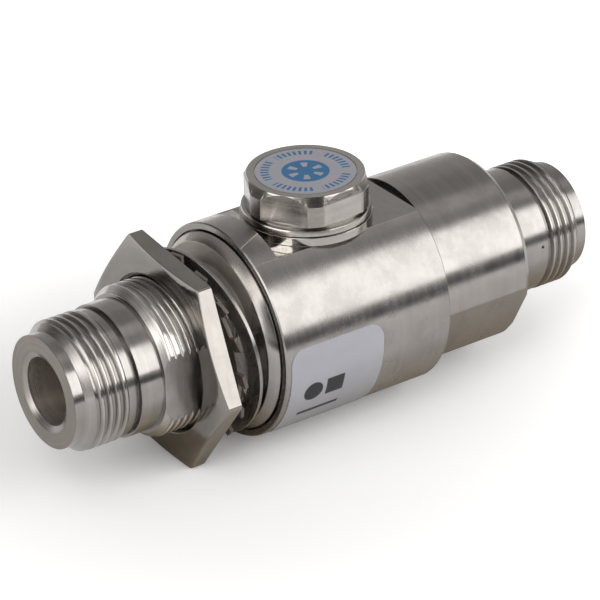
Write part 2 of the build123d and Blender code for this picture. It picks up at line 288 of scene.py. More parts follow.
def in_millimetres(tree, place):
    """A place in metres, in millimetres."""
    feeds = {0: place, 3: MM_PER_METRE}
    return node(tree, "ShaderNodeVectorMath", feeds, operation="SCALE").outputs[0]


def length(tree, vector):
    """A vector's length."""
    return node(tree, "ShaderNodeVectorMath", {0: vector}, operation="LENGTH").outputs["Value"]


def new_material(name):
    """Material still to be made up, as (material, its nodes, its shader, place on the piece)."""
    material = bpy.data.materials.new(name)
    material.use_nodes = True
    tree = material.node_tree
    place = node(tree, "ShaderNodeTexCoord").outputs["Object"]
    return material, tree, tree.nodes["Principled BSDF"], place


def embossed(tree, shader, height, strength, depth):
    """Raise a shader's skin by a height of 0 to 1, as much as depth in metres."""
    feeds = {"Height": height, "Strength": strength, "Distance": depth}
    tree.links.new(node(tree, "ShaderNodeBump", feeds).outputs[0], shader.inputs["Normal"])


MARK_VALUES = ("Height", "Streak", "Blotch", "Radius", "Station", "Side", "Level")


def turning_marks_group():
    """Tool marks that run round the axis, plating blotches and rubbed spots, from a place in
    metres whose X is the turning axis."""
    group = bpy.data.node_groups.new("turning marks", "ShaderNodeTree")
    for socket, kind in (("Place", "NodeSocketVector"), ("Lines", "NodeSocketFloat")):
        group.interface.new_socket(name=socket, in_out="INPUT", socket_type=kind)
    for socket in MARK_VALUES:
        group.interface.new_socket(name=socket, in_out="OUTPUT", socket_type="NodeSocketFloat")
    given, out = group.nodes.new("NodeGroupInput"), group.nodes.new("NodeGroupOutput")
    in_mm = in_millimetres(group, given.outputs["Place"])
    parts = node(group, "ShaderNodeSeparateXYZ", {0: in_mm}).outputs
    flat = node(group, "ShaderNodeCombineXYZ", {"Y": parts["Y"], "Z": parts["Z"]}).outputs[0]
    radius = length(group, flat)

    def rings(lines, drift, detail):
        where = node(group, "ShaderNodeCombineXYZ", {
            "X": maths(group, "MULTIPLY", parts["X"], lines),
            "Y": maths(group, "MULTIPLY", parts["Y"], drift),
            "Z": maths(group, "MULTIPLY", parts["Z"], drift)}).outputs[0]
        across = maths(group, "MULTIPLY", radius, lines)
        feeds = {"Vector": where, "W": across, "Scale": 1.0, "Detail": detail, "Roughness": 0.6}
        return node(group, "ShaderNodeTexNoise", feeds, noise_dimensions="4D").outputs["Fac"]

    fine = rings(given.outputs["Lines"], 0.06, 2.0)
    broad = rings(maths(group, "MULTIPLY", given.outputs["Lines"], 0.16), 0.05, 3.0)
    blotch = noise(group, in_mm, 0.3, 4.0, roughness=0.62)
    fine_share = maths(group, "MULTIPLY", fine, 0.75)
    broad_share = maths(group, "MULTIPLY", broad, 0.25)
    height = maths(group, "ADD", fine_share, broad_share)
    values = (height, broad, blotch, radius, parts["X"], parts["Y"], parts["Z"])
    for socket, value in zip(MARK_VALUES, values):
        group.links.new(value, out.inputs[socket])
    return group


turning_marks = turning_marks_group()
TOOL_MARKS_PER_MM = 9.0
STAIN_AND_LIGHT_EDGE = 0.1
DRY_STAIN_AND_SHADE = 0.2


def turned_metal(name, colour, roughness, port_x=None, streak=0.06, bump=0.12,
                 blotches=(0.95, 1.03), anisotropy=0.85, stains_and_painted_light=(), clean_side=None,
                 milled_level=None):
    """Plated metal with lathe marks. Each entry of stains_and_painted_light is (start, end, full
    radius, clear radius, share, colour, change of roughness): a real stain such as dust or tarnish,
    painted shade in a groove, a root or on a face, or a painted highlight on a crest or a flat.
    None lies past clean_side.
    A flat milled at milled_level is smoother than the turned skin."""
    material, tree, shader, place = new_material(name)
    if port_x is not None:
        feeds = {"Vector": place, "Location": (-port_x / MM_PER_METRE, 0, 0)}
        place = node(tree, "ShaderNodeMapping", feeds).outputs[0]
        feeds = {"Vector": place, "Rotation": (0, math.pi / 2, 0)}
        place = node(tree, "ShaderNodeMapping", feeds).outputs[0]
    group = node(tree, "ShaderNodeGroup", node_tree=turning_marks)
    tree.links.new(place, group.inputs["Place"])
    group.inputs["Lines"].default_value = TOOL_MARKS_PER_MM
    marks = group.outputs
    blotch = ranged(tree, marks["Blotch"], 0.35, 0.65, 0.0, 1.0, smooth=True)
    shade = ranged(tree, marks["Streak"], 0.3, 0.7, 1 - streak, 1 + streak)
    dark = [value * blotches[0] for value in colour] + [1]
    light = [value * blotches[1] for value in colour] + [1]
    tone = mixed(tree, blotch, dark, light)
    tone = mixed(tree, 1.0, tone, shade, "MULTIPLY")
    rough = ranged(tree, marks["Streak"], 0.3, 0.7, roughness * 0.85, roughness * 1.15)
    rough = maths(tree, "ADD", rough, ranged(tree, blotch, 0.0, 1.0, 0.03, -0.03))
    bare = 1.0
    for start, end, full, clear, share, stain_and_light_colour, rougher in stains_and_painted_light:
        limits = [
            ranged(tree, marks["Station"], start - STAIN_AND_LIGHT_EDGE, start + STAIN_AND_LIGHT_EDGE, 0.0, share),
            ranged(tree, marks["Station"], end - STAIN_AND_LIGHT_EDGE, end + STAIN_AND_LIGHT_EDGE, 1.0, 0.0),
            ranged(tree, marks["Radius"], full, clear, 1.0, 0.0, smooth=True),
            ranged(tree, marks["Blotch"], 0.3, 0.6, 0.6, 1.0),
            ranged(tree, marks["Height"], 0.35, 0.65, 0.45, 1.0)]
        if clean_side is not None:
            limits.append(ranged(tree, marks["Side"], clean_side, clean_side + 0.15, 0.0, 1.0))
        held = product(tree, *limits)
        tone = mixed(tree, held, tone, (*stain_and_light_colour, 1))
        rough = maths(tree, "ADD", rough, maths(tree, "MULTIPLY", held, rougher))
        if rougher > DRY_STAIN_AND_SHADE:
            bare = maths(tree, "MULTIPLY", bare, maths(tree, "SUBTRACT", 1.0, held))
    if milled_level is not None:
        off = distance(tree, marks["Level"], milled_level)
        rough = maths(tree, "MULTIPLY", rough, ranged(tree, off, 0.02, 0.06, 0.3, 1.0))
    fed(tree, shader.inputs["Base Color"], tone)
    fed(tree, shader.inputs["Roughness"], rough)
    fed(tree, shader.inputs["Metallic"], bare)
    shader.inputs["Anisotropic"].default_value = anisotropy
    shader.inputs["Anisotropic Rotation"].default_value = 0.25
    parts = node(tree, "ShaderNodeSeparateXYZ", {0: place}).outputs
    back_y = maths(tree, "MULTIPLY", parts["Z"], -1.0)
    way_round = node(tree, "ShaderNodeCombineXYZ", {"Y": back_y, "Z": parts["Y"]}).outputs[0]
    if port_x is not None:
        feeds = {"Vector": way_round, "Rotation": (0, -math.pi / 2, 0)}
        way_round = node(tree, "ShaderNodeMapping", feeds, vector_type="VECTOR").outputs[0]
    tangent = node(tree, "ShaderNodeVectorTransform", {0: way_round}, vector_type="VECTOR",
                   convert_from="OBJECT", convert_to="WORLD")
    tree.links.new(tangent.outputs[0], shader.inputs["Tangent"])
    embossed(tree, shader, marks["Height"], bump, 0.00001)
    return material


def finished(piece, body, material, slot, *nodes):
    """Clean the mesh, shade it, bring it down to metres and put it on its body."""
    only(piece)
    bpy.ops.object.mode_set(mode="EDIT")
    bpy.ops.mesh.select_all(action="SELECT")
    bpy.ops.mesh.remove_doubles(threshold=SAME_PLACE / 2)
    bpy.ops.mesh.dissolve_degenerate(threshold=SAME_PLACE / 2)
    bpy.ops.mesh.select_all(action="SELECT")
    bpy.ops.mesh.fill_holes(sides=6)
    bpy.ops.object.mode_set(mode="OBJECT")
    bpy.ops.object.shade_smooth_by_angle(angle=math.radians(28))
    even = piece.modifiers.new("even", "WEIGHTED_NORMAL")
    even.keep_sharp = True
    bpy.ops.object.modifier_apply(modifier="even")
    piece.scale = (1 / MM_PER_METRE,) * 3
    bpy.ops.object.transform_apply(location=True, rotation=True, scale=True)
    piece.data.materials.clear()
    piece.data.materials.append(material)
    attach(piece, body)
    if nodes:
        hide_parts(*nodes)


NICKEL = (0.33, 0.312, 0.296)
# Painted highlight: a lighter colour for the thread crests, where light catches them.
PAINTED_CREST_HIGHLIGHT = (0.50, 0.48, 0.46)
POLISHED_NICKEL = (0.66, 0.64, 0.61)
SCRATCHED_NICKEL = (0.80, 0.78, 0.75)
# Painted highlight for the neck thread's crests.
PAINTED_NECK_CREST_HIGHLIGHT = (0.86, 0.84, 0.80)
# Painted highlight: the cap's reflection on the front of the milled flat.
PAINTED_FLAT_HIGHLIGHT = (0.92, 0.89, 0.84)
# Painted shade, near black, for grooves and for the cap's top band and chamfer.
PAINTED_DEEP_SHADE = (0.05, 0.042, 0.032)
# Painted shade, brown, for thread roots, the cap's groove and corners and the jack's front face.
PAINTED_BROWN_SHADE = (0.16, 0.13, 0.10)
SHOULDER_DUST = (0.36, 0.315, 0.27)
BORE_TARNISH = (0.42, 0.345, 0.285)
front_nickel = turned_metal(
    "front_body_nickel", NICKEL, 0.21, streak=0.1, bump=0.17, clean_side=-8.2, stains_and_painted_light=[
        # Painted shade, brown, in the jack thread's roots.
        (-20.9, -16.9, 7.55, 7.8, 0.45, PAINTED_BROWN_SHADE, 0.1),
        # Painted highlight: the jack thread's crests lighter.
        (-22.0, -16.9, 7.93, 7.87, 0.7, PAINTED_CREST_HIGHLIGHT, -0.05),
        # Painted shade, near black, in the groove behind the jack thread.
        (-15.9, -15.2, 7.6, 8.0, 0.6, PAINTED_DEEP_SHADE, 0.2),
        # Painted shade, brown, in the neck thread's roots.
        (-11.8, -0.9, 9.05, 9.2, 0.55, PAINTED_BROWN_SHADE, 0.1),
        (-12.15, -0.9, 8.6, 8.4, 0.6, POLISHED_NICKEL, 0.0),
        # Painted highlight: the neck thread's crests lighter.
        (-12.15, -0.9, 9.22, 9.12, 0.4, PAINTED_NECK_CREST_HIGHLIGHT, -0.03),
        (-1.0, 0.06, 11.1, 11.4, 0.85, SHOULDER_DUST, 0.25),
        (0.0, 1.2, 12.0, 12.3, 0.5, SHOULDER_DUST, 0.15),
        # Painted shade, brown, over the jack's front face.
        (-23.6, -23.4, 8.0, 8.2, 0.75, PAINTED_BROWN_SHADE, 0.05),
        (-23.1, -12.4, 4.2, 4.5, 0.5, BORE_TARNISH, 0.25)])
front_shell = eased(turned("front_shell", FRONT_BODY_OUTLINE), 0.06)
combined(front_shell, block((-NECK_LENGTH / 2, NECK_FLAT_Y - 1, 0), (NECK_LENGTH, 2.0, 20)))
combined(front_shell, thread_tool(start=-12.6, turns=13, lift_end=0.1, **NECK_THREAD))
combined(front_shell, thread_tool(start=-22.17, turns=5, lift_end=0.3, **JACK_THREAD))
finished(front_shell, "housing", front_nickel, "turned_nickel", "front_body")


# Main body. A length of the same bar, bored through for the line and counterbored at both ends
# for the two jacks, with a flat milled across its top and a tapped port for the gas tube in it.
BODY_R = 13.2
FLAT_LEVEL = 11.3
PORT_X = 13.6
PORT_R = 5.1
TUBE_CHAMBER_R = 4.6
MAIN_BODY_OUTLINE = [
    (1.3, 12.38),
    (1.3, 13.05),
    (1.45, BODY_R),
    (25.0, BODY_R),
    (25.15, 13.05),
    (25.15, JOINT_R),
    (19.75, JOINT_R),
    (19.75, BEAD_SEAT_R),
    (7.5, BEAD_SEAT_R),
    (7.5, JOINT_R),
    (2.6, JOINT_R),
    (2.6, 12.38),
]
# The front of the milled flat, before the cap, is painted much lighter: a painted reflection of the
# cap.
main_nickel = turned_metal("main_body_nickel", NICKEL, 0.25, milled_level=FLAT_LEVEL, stains_and_painted_light=[
    (4.75, 7.5, 12.95, 13.1, 0.9, PAINTED_FLAT_HIGHLIGHT, -0.08)])


def scratched(material, start, end, radius, width):
    """Add a bright scratch to a turned metal, between two (station, degrees round) places."""
    tree = material.node_tree
    marks = next(made for made in tree.nodes if made.type == "GROUP").outputs
    base_colour = tree.nodes["Principled BSDF"].inputs["Base Color"]
    near_side = maths(tree, "MULTIPLY", marks["Side"], -1.0)
    around = maths(tree, "ARCTAN2", near_side, marks["Level"])
    slope = math.radians(end[1] - start[1]) / (end[0] - start[0])
    at_zero = math.radians(start[1]) - slope * start[0]
    line = maths(tree, "MULTIPLY_ADD", marks["Station"], slope, at_zero)
    off = maths(tree, "MULTIPLY", distance(tree, around, line), radius)
    share = product(
        tree,
        ranged(tree, off, width * 0.3, width * 0.7, 0.9, 0.0),
        ranged(tree, marks["Station"], start[0], start[0] + 0.2, 0.0, 1.0),
        ranged(tree, marks["Station"], end[0] - 0.2, end[0], 1.0, 0.0))
    tone = base_colour.links[0].from_socket
    fed(tree, base_colour, mixed(tree, share, tone, (*SCRATCHED_NICKEL, 1)))


scratched(main_nickel, (1.3, 18.5), (4.9, 11.8), BODY_R, 0.16)
main_shell = turned("main_shell", MAIN_BODY_OUTLINE)
combined(main_shell, block((15.7, 0, FLAT_LEVEL + 1), (22, 30, 2.0)))
combined(main_shell, straight("port_tool", 5, 14, 0, PORT_R, port_x=PORT_X))
combined(main_shell, straight("tube_tool", 0, 6, 0, TUBE_CHAMBER_R, port_x=PORT_X))
eased(main_shell, 0.07, limit=32)
finished(main_shell, "housing", main_nickel, "turned_nickel", "main_body")


# Rear body. The second jack and the screwed-in end of the arrestor, turned from one bar, with two
# wrench flats milled on its large diameter and a small pit in the relief before its thread.
REAR_BODY_OUTLINE = [
    (19.75, BEAD_SEAT_R),
    (19.75, JOINT_R),
    (26.0, JOINT_R),
    (26.0, 11.7),
    (37.8, 11.7),
    (38.5, 11.25),
    (38.5, 7.87),
    (44.3, 7.87),
    (44.3, 7.5),
    (44.9, 7.5),
    (44.9, JACK_THREAD_R),
    (48.6, JACK_THREAD_R),
    (49.6, JACK_NOSE_R),
    (51.0, JACK_NOSE_R),
    (51.0, 4.95),
    (50.6, JACK_MOUTH_R),
    (41.9, JACK_MOUTH_R),
    (41.9, LINE_R),
    (39.9, LINE_R),
    (39.9, BEAD_SEAT_R),
]
WRENCH_FLAT_LEVEL = 10.9
WRENCH_FLAT_LEANS = (117.5, 297.5)
PIT = (43.45, -7.65, 1.03)
# Painted shade on the rear body: near black in the relief groove and brown in the thread roots.
# Painted highlight: the thread crests lighter. The bore's brown is tarnish.
rear_nickel = turned_metal("rear_body_nickel", NICKEL, 0.23, stains_and_painted_light=[
    (44.2, 45.0, 7.6, 7.9, 0.45, PAINTED_DEEP_SHADE, 0.1),
    (44.9, 48.7, 7.55, 7.8, 0.4, PAINTED_BROWN_SHADE, 0.15),
    (44.9, 49.5, 7.93, 7.87, 0.7, PAINTED_CREST_HIGHLIGHT, -0.05),
    (41.9, 50.7, 4.2, 4.5, 0.9, BORE_TARNISH, 0.25)])
rear_shell = eased(turned("rear_shell", REAR_BODY_OUTLINE), 0.06)
for lean in WRENCH_FLAT_LEANS:
    combined(rear_shell, block((32.25, 0, WRENCH_FLAT_LEVEL + 1), (12.5, 24, 2.0), lean=lean))
combined(rear_shell, thread_tool(start=44.5, turns=6, lift_end=0.1, **JACK_THREAD))
bpy.ops.object.select_all(action="DESELECT")
bpy.ops.mesh.primitive_uv_sphere_add(segments=16, ring_count=8, radius=0.26, location=PIT)
combined(rear_shell, bpy.context.object)
finished(rear_shell, "housing", rear_nickel, "turned_nickel", "rear_body")


# Seals. Black rubber rings, squeezed in the joints between the three bodies and under the cap.
# The outer two are seen as dark lines round the body.
SKIN_SCALE = 900.0
SKIN_SPOTS = 0.12


def plain_material(name, colour, roughness, metallic=0.0):
    """Rubber, plastic, ceramic or plated metal with a fine uneven skin."""
    material, tree, shader, place = new_material(name)
    skin = noise(tree, place, SKIN_SCALE, 4.0)
    cloud = noise(tree, place, SKIN_SCALE * 0.2, 2.0)
    dark = [value * (1 - SKIN_SPOTS) for value in colour] + [1]
    light = [min(1, value * (1 + SKIN_SPOTS)) for value in colour] + [1]
    tone = mixed(tree, ranged(tree, cloud, 0.3, 0.7, 0, 1), dark, light)
    fed(tree, shader.inputs["Base Color"], tone)
    rough = ranged(tree, skin, 0.3, 0.7, roughness - 0.06, roughness + 0.06)
    fed(tree, shader.inputs["Roughness"], rough)
    embossed(tree, shader, skin, 0.15, 0.00002)
    shader.inputs["Metallic"].default_value = metallic
    return material


def given_finish(material, *nodes):
    """Give modelled nodes of the frame their finish."""
    for name in nodes:
        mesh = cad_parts[name].data
        mesh.materials.clear()
        mesh.materials.append(material)


seal_rubber = plain_material("seal_rubber", (0.012, 0.011, 0.010), 0.6)
given_finish(seal_rubber, "front_seal", "rear_seal", "cap_seal")


# Centre line. Slotted spring contacts, plated, pressed in white plastic beads that brass bushings
# hold in their seats, and the rod between them with its boss and pad under the gas tube.
contact_plate = plain_material("contact_plate", (0.72, 0.55, 0.28), 0.25, metallic=1.0)
bead_plastic = plain_material("bead_plastic", (0.78, 0.77, 0.72), 0.45)
bushing_brass = plain_material("bushing_brass", (0.66, 0.50, 0.26), 0.35, metallic=1.0)
given_finish(contact_plate, "front_contact", "rear_contact", "centre_conductor", "contact_pad")
given_finish(bead_plastic, "front_bead", "rear_bead")
given_finish(bushing_brass, "front_bushing", "rear_bushing")


# Gas tube. A ceramic ring closed by two metal discs, pressed down on the pad by a coned spring
# washer under the cap.
tube_metal = plain_material("tube_metal", (0.56, 0.55, 0.53), 0.3, metallic=1.0)
tube_ceramic = plain_material("tube_ceramic", (0.74, 0.73, 0.70), 0.5)
spring_bronze = plain_material("spring_bronze", (0.55, 0.36, 0.22), 0.33, metallic=1.0)
given_finish(tube_metal, "tube_lower_electrode", "tube_upper_electrode")
given_finish(tube_ceramic, "tube_ceramic")
given_finish(spring_bronze, "tube_spring")


# Sealing washer. A flat metal ring, bright plated, that is clamped between the milled flat and
# the cap's flange and holds the rubber seal inside it.
washer_nickel = turned_metal("cap_washer_nickel", (0.43, 0.41, 0.385), 0.09, port_x=PORT_X)
sealing_ring = straight("sealing_ring", FLAT_LEVEL, 12.35, 6.5, 7.9, port_x=PORT_X)
eased(sealing_ring, 0.08, segments=3)
finished(sealing_ring, "gas_tube", washer_nickel, "washer_nickel", "cap_washer")


# Cap. Turned and milled to a hexagon, bright nickel plated, with a flange, a groove over it, a
# shallow recess for its label and a threaded cup below that holds the gas tube.
CAP_TOP = 17.25
CAP_RECESS_R = 6.1
CAP_CORNER_R = 8.083
SHANK_R = 5.0
SHANK_THREAD = {"pitch": 0.75, "crest": SHANK_R, "depth": 0.35, "land": 0.12}
CAP_CORNER_OUTLINE = [
    (13.5, 0),
    (13.5, 7.6),
    (16.15, 7.6),
    (CAP_TOP, 7.0),
    (CAP_TOP, 0),
]
CAP_FOOT_OUTLINE = [
    (6.9, 4.06),
    (6.9, SHANK_R),
    (12.36, SHANK_R),
    (12.36, 7.6),
    (12.5, 7.75),
    (12.95, 7.75),
    (13.17, 7.66),
    (13.25, 7.45),
    (13.25, 7.2),
    (13.65, 7.2),
    (13.65, 0),
    (9.3, 0),
    (9.3, 4.06),
]
# Painted shade on the cap: the top band of the hexagon with its chamfer near black, the corner
# strips and the groove over the flange brown.
cap_nickel = turned_metal(
    "cap_nickel", (0.42, 0.40, 0.375), 0.2, port_x=PORT_X, streak=0.08, stains_and_painted_light=[
        (16.2, 17.1, 6.95, 6.75, 0.9, PAINTED_DEEP_SHADE, 0.2),
        (13.6, 16.1, 7.59, 7.45, 0.5, PAINTED_BROWN_SHADE, 0.1),
        (13.2, 13.6, 7.15, 7.1, 0.5, PAINTED_BROWN_SHADE, 0.1)])
cap_head = straight("cap_shell", 13.6, CAP_TOP, 0, CAP_CORNER_R, port_x=PORT_X, steps=6, first=3)
combined(cap_head, turned("corner_tool", CAP_CORNER_OUTLINE, port_x=PORT_X), "INTERSECT")
eased(cap_head, 0.06, limit=24)
combined(cap_head, turned("cap_foot", CAP_FOOT_OUTLINE, port_x=PORT_X), "UNION")
shank_tool = thread_tool(start=6.55, turns=7, lift_end=0.3, **SHANK_THREAD)
only(shank_tool)
upright = Matrix.Rotation(-math.pi / 2, 4, "Y")
shank_tool.matrix_world = Matrix.Translation((PORT_X, 0, 0)) @ upright
bpy.ops.object.transform_apply(location=True, rotation=True, scale=True)
combined(cap_head, shank_tool)
combined(cap_head, straight("recess_tool", 17.05, 17.5, 0, CAP_RECESS_R, port_x=PORT_X))
finished(cap_head, "cap_head", cap_nickel, "cap_nickel", "cap")


# Cap label. A disc of silvery film, laid in the cap's recess, with a printed ring of blue dashes
# in five groups and a blue rosette in the middle.
COOL_FILM = (0.37, 0.41, 0.44, 1)
WARM_FILM = (0.45, 0.40, 0.45, 1)
BLUE_INK = (0.008, 0.115, 0.27, 1)


def label_print():
    """Film with its blue print: groups of dashes round the edge and a rosette in the middle."""
    material, tree, shader, place = new_material("cap_label")
    feeds = {"Vector": place, "Location": (-PORT_X / MM_PER_METRE, 0, 0)}
    centred = node(tree, "ShaderNodeMapping", feeds).outputs[0]
    in_mm = in_millimetres(tree, centred)
    parts = node(tree, "ShaderNodeSeparateXYZ", {0: in_mm}).outputs
    flat = node(tree, "ShaderNodeCombineXYZ", {"X": parts["X"], "Y": parts["Y"]}).outputs[0]
    radius = length(tree, flat)
    around = maths(tree, "ARCTAN2", parts["Y"], parts["X"])

    def band(middle, width):
        off = distance(tree, radius, middle)
        return ranged(tree, off, width / 2 - 0.06, width / 2 + 0.06, 1.0, 0.0)

    def spokes(count, share, soft=0.2):
        wave = maths(tree, "COSINE", maths(tree, "MULTIPLY", around, count))
        return ranged(tree, wave, share - soft, share + soft, 0.0, 1.0)

    dashes = product(tree, band(4.85, 1.0), spokes(46, 0.0), spokes(5, -0.8, soft=0.03))
    windows = product(tree, band(1.65, 1.1), spokes(6, 0.35))
    rosette = maths(tree, "SUBTRACT", band(0.0, 5.7), windows)
    ink = maths(tree, "MAXIMUM", dashes, rosette)
    cloud = noise(tree, in_mm, 0.45, 2.0)
    film = mixed(tree, ranged(tree, cloud, 0.3, 0.7, 0, 1), COOL_FILM, WARM_FILM)
    grain = noise(tree, in_mm, 14.0, 3.0)
    fed(tree, shader.inputs["Base Color"], mixed(tree, ink, film, BLUE_INK))
    fed(tree, shader.inputs["Roughness"], ranged(tree, grain, 0.3, 0.7, 0.26, 0.42))
    fed(tree, shader.inputs["Metallic"], ranged(tree, ink, 0.0, 1.0, 0.55, 0.0))
    embossed(tree, shader, grain, 0.1, 0.00001)
    return material


given_finish(label_print(), "cap_label")


# Panel nut. Cut from hexagon bar, faced to a shallow cone at the front so that its corners drop
# away, and run on the neck's thread.
NUT_FRONT = -8.1
NUT_BACK = -5.7
NUT_CORNER_R = 14.434
NUT_BORE_R = 9.35
NUT_CONE_OUTLINE = [
    (-8.2, 0),
    (NUT_FRONT, 12.2),
    (-7.5, NUT_CORNER_R),
    (-5.6, 15),
    (-5.6, 0),
]
NUT_BORE_OUTLINE = [
    (-8.6, 0),
    (-8.6, 10.3),
    (-7.65, NUT_BORE_R),
    (-6.15, NUT_BORE_R),
    (-5.2, 10.3),
    (-5.2, 0),
]
nut_nickel = turned_metal("nut_nickel", (0.27, 0.255, 0.235), 0.12, anisotropy=0.5)
panel_nut = straight("panel_nut", NUT_FRONT, NUT_BACK, 0, NUT_CORNER_R, steps=6, first=36)
bpy.ops.object.mode_set(mode="EDIT")
bpy.ops.mesh.select_mode(type="EDGE")
bpy.ops.mesh.select_all(action="DESELECT")
bpy.ops.object.mode_set(mode="OBJECT")
for edge in panel_nut.data.edges:
    one_end, other_end = (panel_nut.data.vertices[index].co for index in edge.vertices)
    along_the_bar = abs(one_end.x - other_end.x) > 1
    edge.select = along_the_bar and math.hypot(one_end.y, one_end.z) > 14
bpy.ops.object.mode_set(mode="EDIT")
bpy.ops.mesh.bevel(offset=0.35, segments=3)
bpy.ops.mesh.select_mode(type="VERT")
bpy.ops.object.mode_set(mode="OBJECT")
combined(panel_nut, turned("facing_tool", NUT_CONE_OUTLINE), "INTERSECT")
combined(panel_nut, turned("bore_tool", NUT_BORE_OUTLINE))
eased(panel_nut, 0.09, limit=20)
finished(panel_nut, "nut", nut_nickel, "nut_nickel", "hex_nut")


# Washers. A stamped lock washer whose outer teeth are twisted out of its plane, and a flat washer
# that bears on the panel, both loose on the neck.
LEAN_WAY = 32.5
RING_HALF = 0.25
RING_BORE_R = 9.6
TOOTH_COUNT = 16
TOOTH_SIZE = (0.5, 1.8, 1.75)
TOOTH_MIDDLE_R = 11.125
TOOTH_TWIST = 13


def leaned(ring, station, drop, lean):
    """Put a ring made about the origin on the neck, leaning the way the loose washers rest."""
    only(ring)
    way = Matrix.Rotation(math.radians(LEAN_WAY), 4, "X")
    tilt = way @ Matrix.Rotation(math.radians(lean), 4, "Z") @ way.inverted()
    ring.matrix_world = Matrix.Translation((station, 0, -drop)) @ tilt
    bpy.ops.object.transform_apply(location=True, rotation=True, scale=True)


washer_plate = turned_metal("washer_nickel", NICKEL, 0.28)
# The lock washer is painted dark brown all over, with random lighter blotches and less metal:
# painted shade of the gap between the nut and the flat washer.
lock_plate = turned_metal(
    "lock_washer_nickel", (0.22, 0.19, 0.16), 0.33, streak=0.15, blotches=(0.5, 1.6), stains_and_painted_light=[
        (-8, -1, 20, 21, 0.95, (0.075, 0.06, 0.048), 0.25)])
lock_ring = straight("lock_ring", -RING_HALF, RING_HALF, RING_BORE_R, 10.9)
bpy.ops.object.select_all(action="DESELECT")
bpy.ops.mesh.primitive_cube_add(size=1, location=(0, 0, 0))
tooth = bpy.context.object
tooth.scale = TOOTH_SIZE
bpy.ops.object.transform_apply(scale=True)
eased(tooth, 0.07)
stood = Matrix.Translation((0, 0, TOOTH_MIDDLE_R))
twisted = Matrix.Rotation(math.radians(TOOTH_TWIST), 4, "Z")
teeth = []
for index in range(TOOTH_COUNT):
    copy = tooth.copy()
    copy.data = tooth.data.copy()
    bpy.context.scene.collection.objects.link(copy)
    turn = Matrix.Rotation(math.radians(index * 360 / TOOTH_COUNT), 4, "X")
    copy.matrix_world = turn @ stood @ twisted
    teeth.append(copy)
bpy.data.objects.remove(tooth)
only(*teeth)
bpy.ops.object.transform_apply(location=True, rotation=True, scale=True)
bpy.ops.object.join()
combined(lock_ring, bpy.context.object, "UNION")
leaned(lock_ring, -4.355, 0, 4.0)
finished(lock_ring, "washers", lock_plate, "washer_nickel", "lock_washer")
plain_ring = straight("plain_ring", -RING_HALF, RING_HALF, RING_BORE_R, 11.85)
eased(plain_ring, 0.12, segments=3)
leaned(plain_ring, -2.7, 0.1, 8.2)
finished(plain_ring, "washers", washer_plate, "washer_nickel", "flat_washer")


# Sticker. A strip of pale grey film with rounded corners, pressed on the lower front flank of the
# main body, with a plain dark disc, a square and a bar printed on it.
PALE_FILM = (0.345, 0.345, 0.385, 1)
PALER_FILM = (0.38, 0.38, 0.41, 1)
SHADED_FILM = (0.17, 0.165, 0.15, 1)
DARK_INK = (0.025, 0.024, 0.028, 1)
PRINT_LINE = 24.7


def sticker_print():
    """Pale film with a few plain dark shapes printed on it. Places on it are the station and the
    way down round the body from its top, in millimetres."""
    material, tree, shader, place = new_material("sticker")
    cloud = noise(tree, place, 260.0, 3.0)
    film = mixed(tree, ranged(tree, cloud, 0.3, 0.7, 0, 1), PALE_FILM, PALER_FILM)
    parts = node(tree, "ShaderNodeSeparateXYZ", {0: in_millimetres(tree, place)}).outputs
    near_side = maths(tree, "MULTIPLY", parts["Y"], -1.0)
    down = maths(tree, "MULTIPLY", maths(tree, "ARCTAN2", near_side, parts["Z"]), BODY_R)
    # Painted shade: the film darkens towards its lower edge.
    film = mixed(tree, ranged(tree, down, 22.0, 29.0, 0.0, 0.5), film, SHADED_FILM)

    def box(middle_x, middle_down, half_long, half_high):
        aside = maths(tree, "SUBTRACT", distance(tree, parts["X"], middle_x), half_long)
        above = maths(tree, "SUBTRACT", distance(tree, down, middle_down), half_high)
        return ranged(tree, maths(tree, "MAXIMUM", aside, above), -0.04, 0.04, 1.0, 0.0)

    off_x = maths(tree, "SUBTRACT", parts["X"], 5.4)
    off_down = maths(tree, "SUBTRACT", down, PRINT_LINE)
    squares = [maths(tree, "POWER", off, 2.0) for off in (off_x, off_down)]
    off = maths(tree, "SQRT", maths(tree, "ADD", *squares))
    disc = ranged(tree, off, 1.3, 1.38, 1.0, 0.0)
    shapes = maths(tree, "MAXIMUM", disc, box(8.5, PRINT_LINE, 1.25, 1.25))
    shapes = maths(tree, "MAXIMUM", shapes, box(6.9, 28.3, 2.9, 0.3))
    fed(tree, shader.inputs["Base Color"], mixed(tree, shapes, film, DARK_INK))
    dull = ranged(tree, shapes, 0.0, 1.0, 0.0, 0.3)
    rough = maths(tree, "ADD", ranged(tree, cloud, 0.3, 0.7, 0.36, 0.5), dull)
    fed(tree, shader.inputs["Roughness"], rough)
    return material


given_finish(sticker_print(), "sticker")


# Table and light. A pale table top, cards that only show in the metal, a large soft box at the
# front right, a smaller one at the left, and a soft surround with brighter and darker spots.
TABLE_LEVEL = -0.01322
bpy.ops.object.select_all(action="DESELECT")
bpy.ops.mesh.primitive_plane_add(size=6, location=(0, 0, TABLE_LEVEL))
table = bpy.context.object
table.name = "table_top"
bpy.ops.object.transform_apply(location=True)
table_white, surface, table_shader, spot = new_material("table_white")
table_shader.inputs["Base Color"].default_value = (0.93, 0.93, 0.93, 1)
table_shader.inputs["Roughness"].default_value = 0.9
table_shader.inputs["Emission Color"].default_value = (1, 1, 1, 1)
seen = node(surface, "ShaderNodeLightPath").outputs
away = length(surface, spot)
